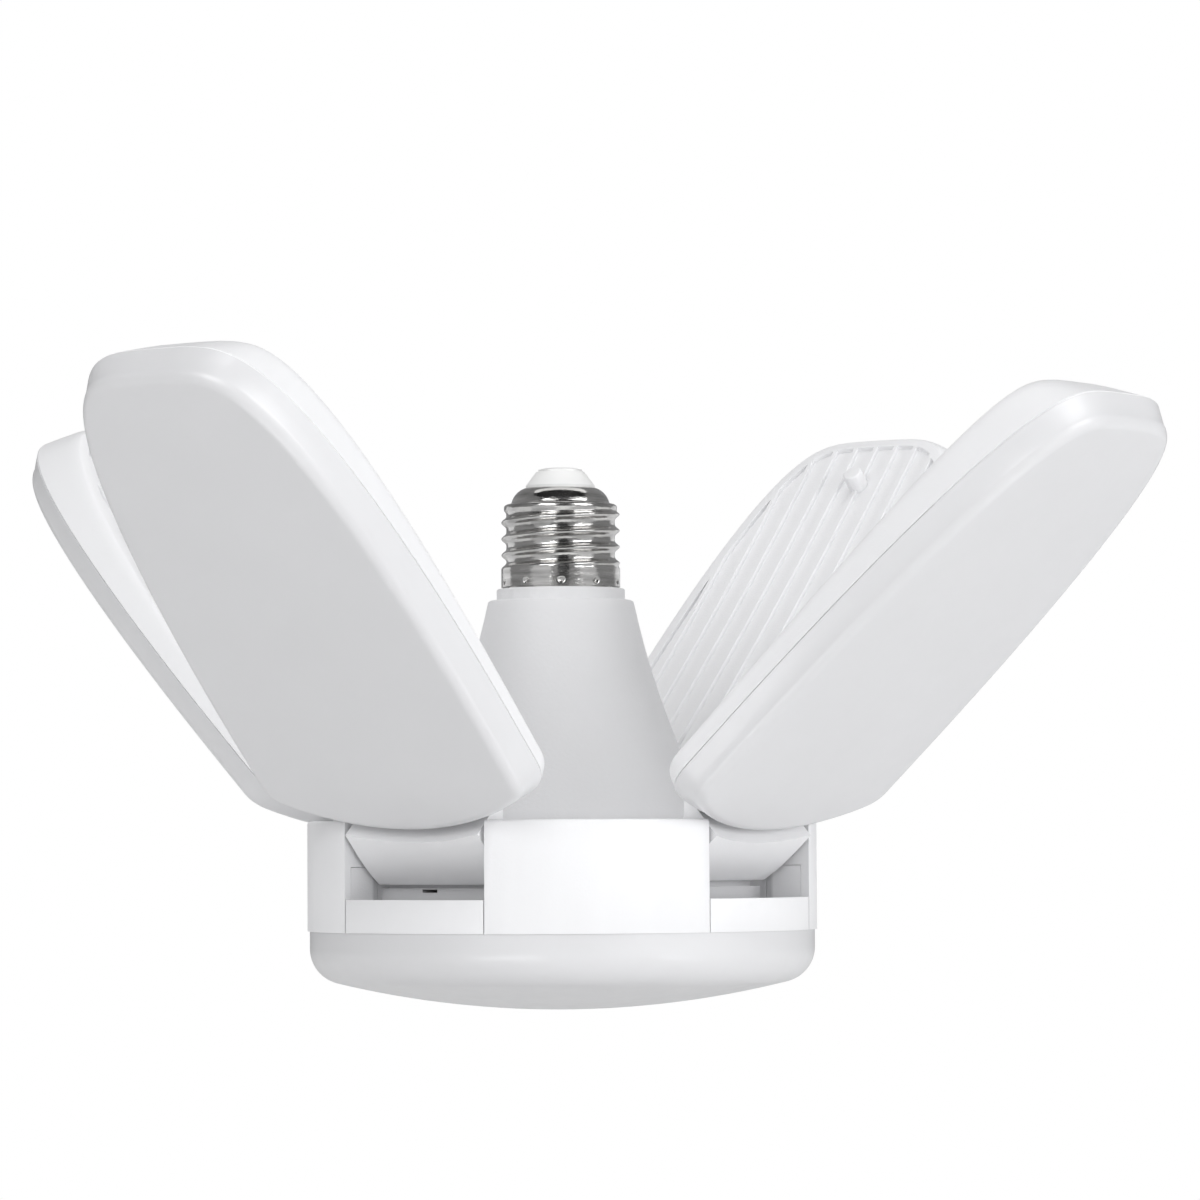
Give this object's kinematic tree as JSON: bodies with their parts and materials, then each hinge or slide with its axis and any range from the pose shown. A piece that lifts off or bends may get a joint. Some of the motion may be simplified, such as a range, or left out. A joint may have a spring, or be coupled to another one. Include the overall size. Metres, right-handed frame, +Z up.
{
  "type": "deformable garage light",
  "caption": "Screw-in ceiling lamp with a domed main light and finned light panels that fold on friction hinges.",
  "frame": {"origin": "centre of the lower rim of the screw cap's skirt, on the lamp's axis", "axes": "+Z up along the lamp's axis into the lamp holder; the front panel folds out to -Y and the right panel to +X"},
  "size_m": [0.2922, 0.2855, 0.1389],
  "materials": {
    "nickel_plate": "rolled nickel plate, bright with soft streaks",
    "insulator_white": "satin white",
    "neck_white": "fine orange-peel texture",
    "housing_white": "fine satin texture",
    "shell_white": "satin white with fine grain",
    "milky_cover": "milky, smooth, soft gloss",
    "board_aluminium": "white solder mask on aluminium",
    "led_yellow": "phosphor yellow",
    "board_green": "solder mask",
    "capacitor_black": "sleeve",
    "transformer_tape": "yellow tape and dark core",
    "screw_steel": "zinc plated"
  },
  "bodies": {
    "lamp": {"contact_button": "nickel_plate", "cap_insulator": "insulator_white", "screw_shell": "nickel_plate", "neck_housing": "neck_white", "driver_board": "board_green", "filter_capacitor": "capacitor_black", "transformer": "transformer_tape", "neck_screws": "screw_steel", "hub_housing": "housing_white", "base_ring": "housing_white", "base_screws": "screw_steel", "main_led_board": "board_aluminium", "main_leds": "led_yellow", "main_diffuser": "milky_cover"},
    "front_panel": {"front_panel_shell": "shell_white", "front_panel_led_board": "board_aluminium", "front_panel_leds": "led_yellow", "front_panel_diffuser": "milky_cover", "front_panel_screws": "screw_steel", "front_hinge_pin": "screw_steel", "front_hinge_washers": "screw_steel"},
    "right_panel": {"right_panel_shell": "shell_white", "right_panel_led_board": "board_aluminium", "right_panel_leds": "led_yellow", "right_panel_diffuser": "milky_cover", "right_panel_screws": "screw_steel", "right_hinge_pin": "screw_steel", "right_hinge_washers": "screw_steel"},
    "back_panel": {"back_panel_shell": "shell_white", "back_panel_led_board": "board_aluminium", "back_panel_leds": "led_yellow", "back_panel_diffuser": "milky_cover", "back_panel_screws": "screw_steel", "back_hinge_pin": "screw_steel", "back_hinge_washers": "screw_steel"},
    "left_panel": {"left_panel_shell": "shell_white", "left_panel_led_board": "board_aluminium", "left_panel_leds": "led_yellow", "left_panel_diffuser": "milky_cover", "left_panel_screws": "screw_steel", "left_hinge_pin": "screw_steel", "left_hinge_washers": "screw_steel"}
  },
  "joints": [
    {"name": "front_fold", "type": "hinge", "parent": "lamp", "child": "front_panel", "pos_m": [0, -0.048, -0.0578], "axis": [-1, 0, 0], "range_deg": [-46.6, 43.4]},
    {"name": "right_fold", "type": "hinge", "parent": "lamp", "child": "right_panel", "pos_m": [0.048, 0, -0.0578], "axis": [0, -1, 0], "range_deg": [-41.7, 48.3]},
    {"name": "back_fold", "type": "hinge", "parent": "lamp", "child": "back_panel", "pos_m": [0, 0.048, -0.0578], "axis": [1, 0, 0], "range_deg": [-43.2, 46.8]},
    {"name": "left_fold", "type": "hinge", "parent": "lamp", "child": "left_panel", "pos_m": [-0.048, 0, -0.0578], "axis": [0, 1, 0], "range_deg": [-43.9, 46.1]}
  ]
}
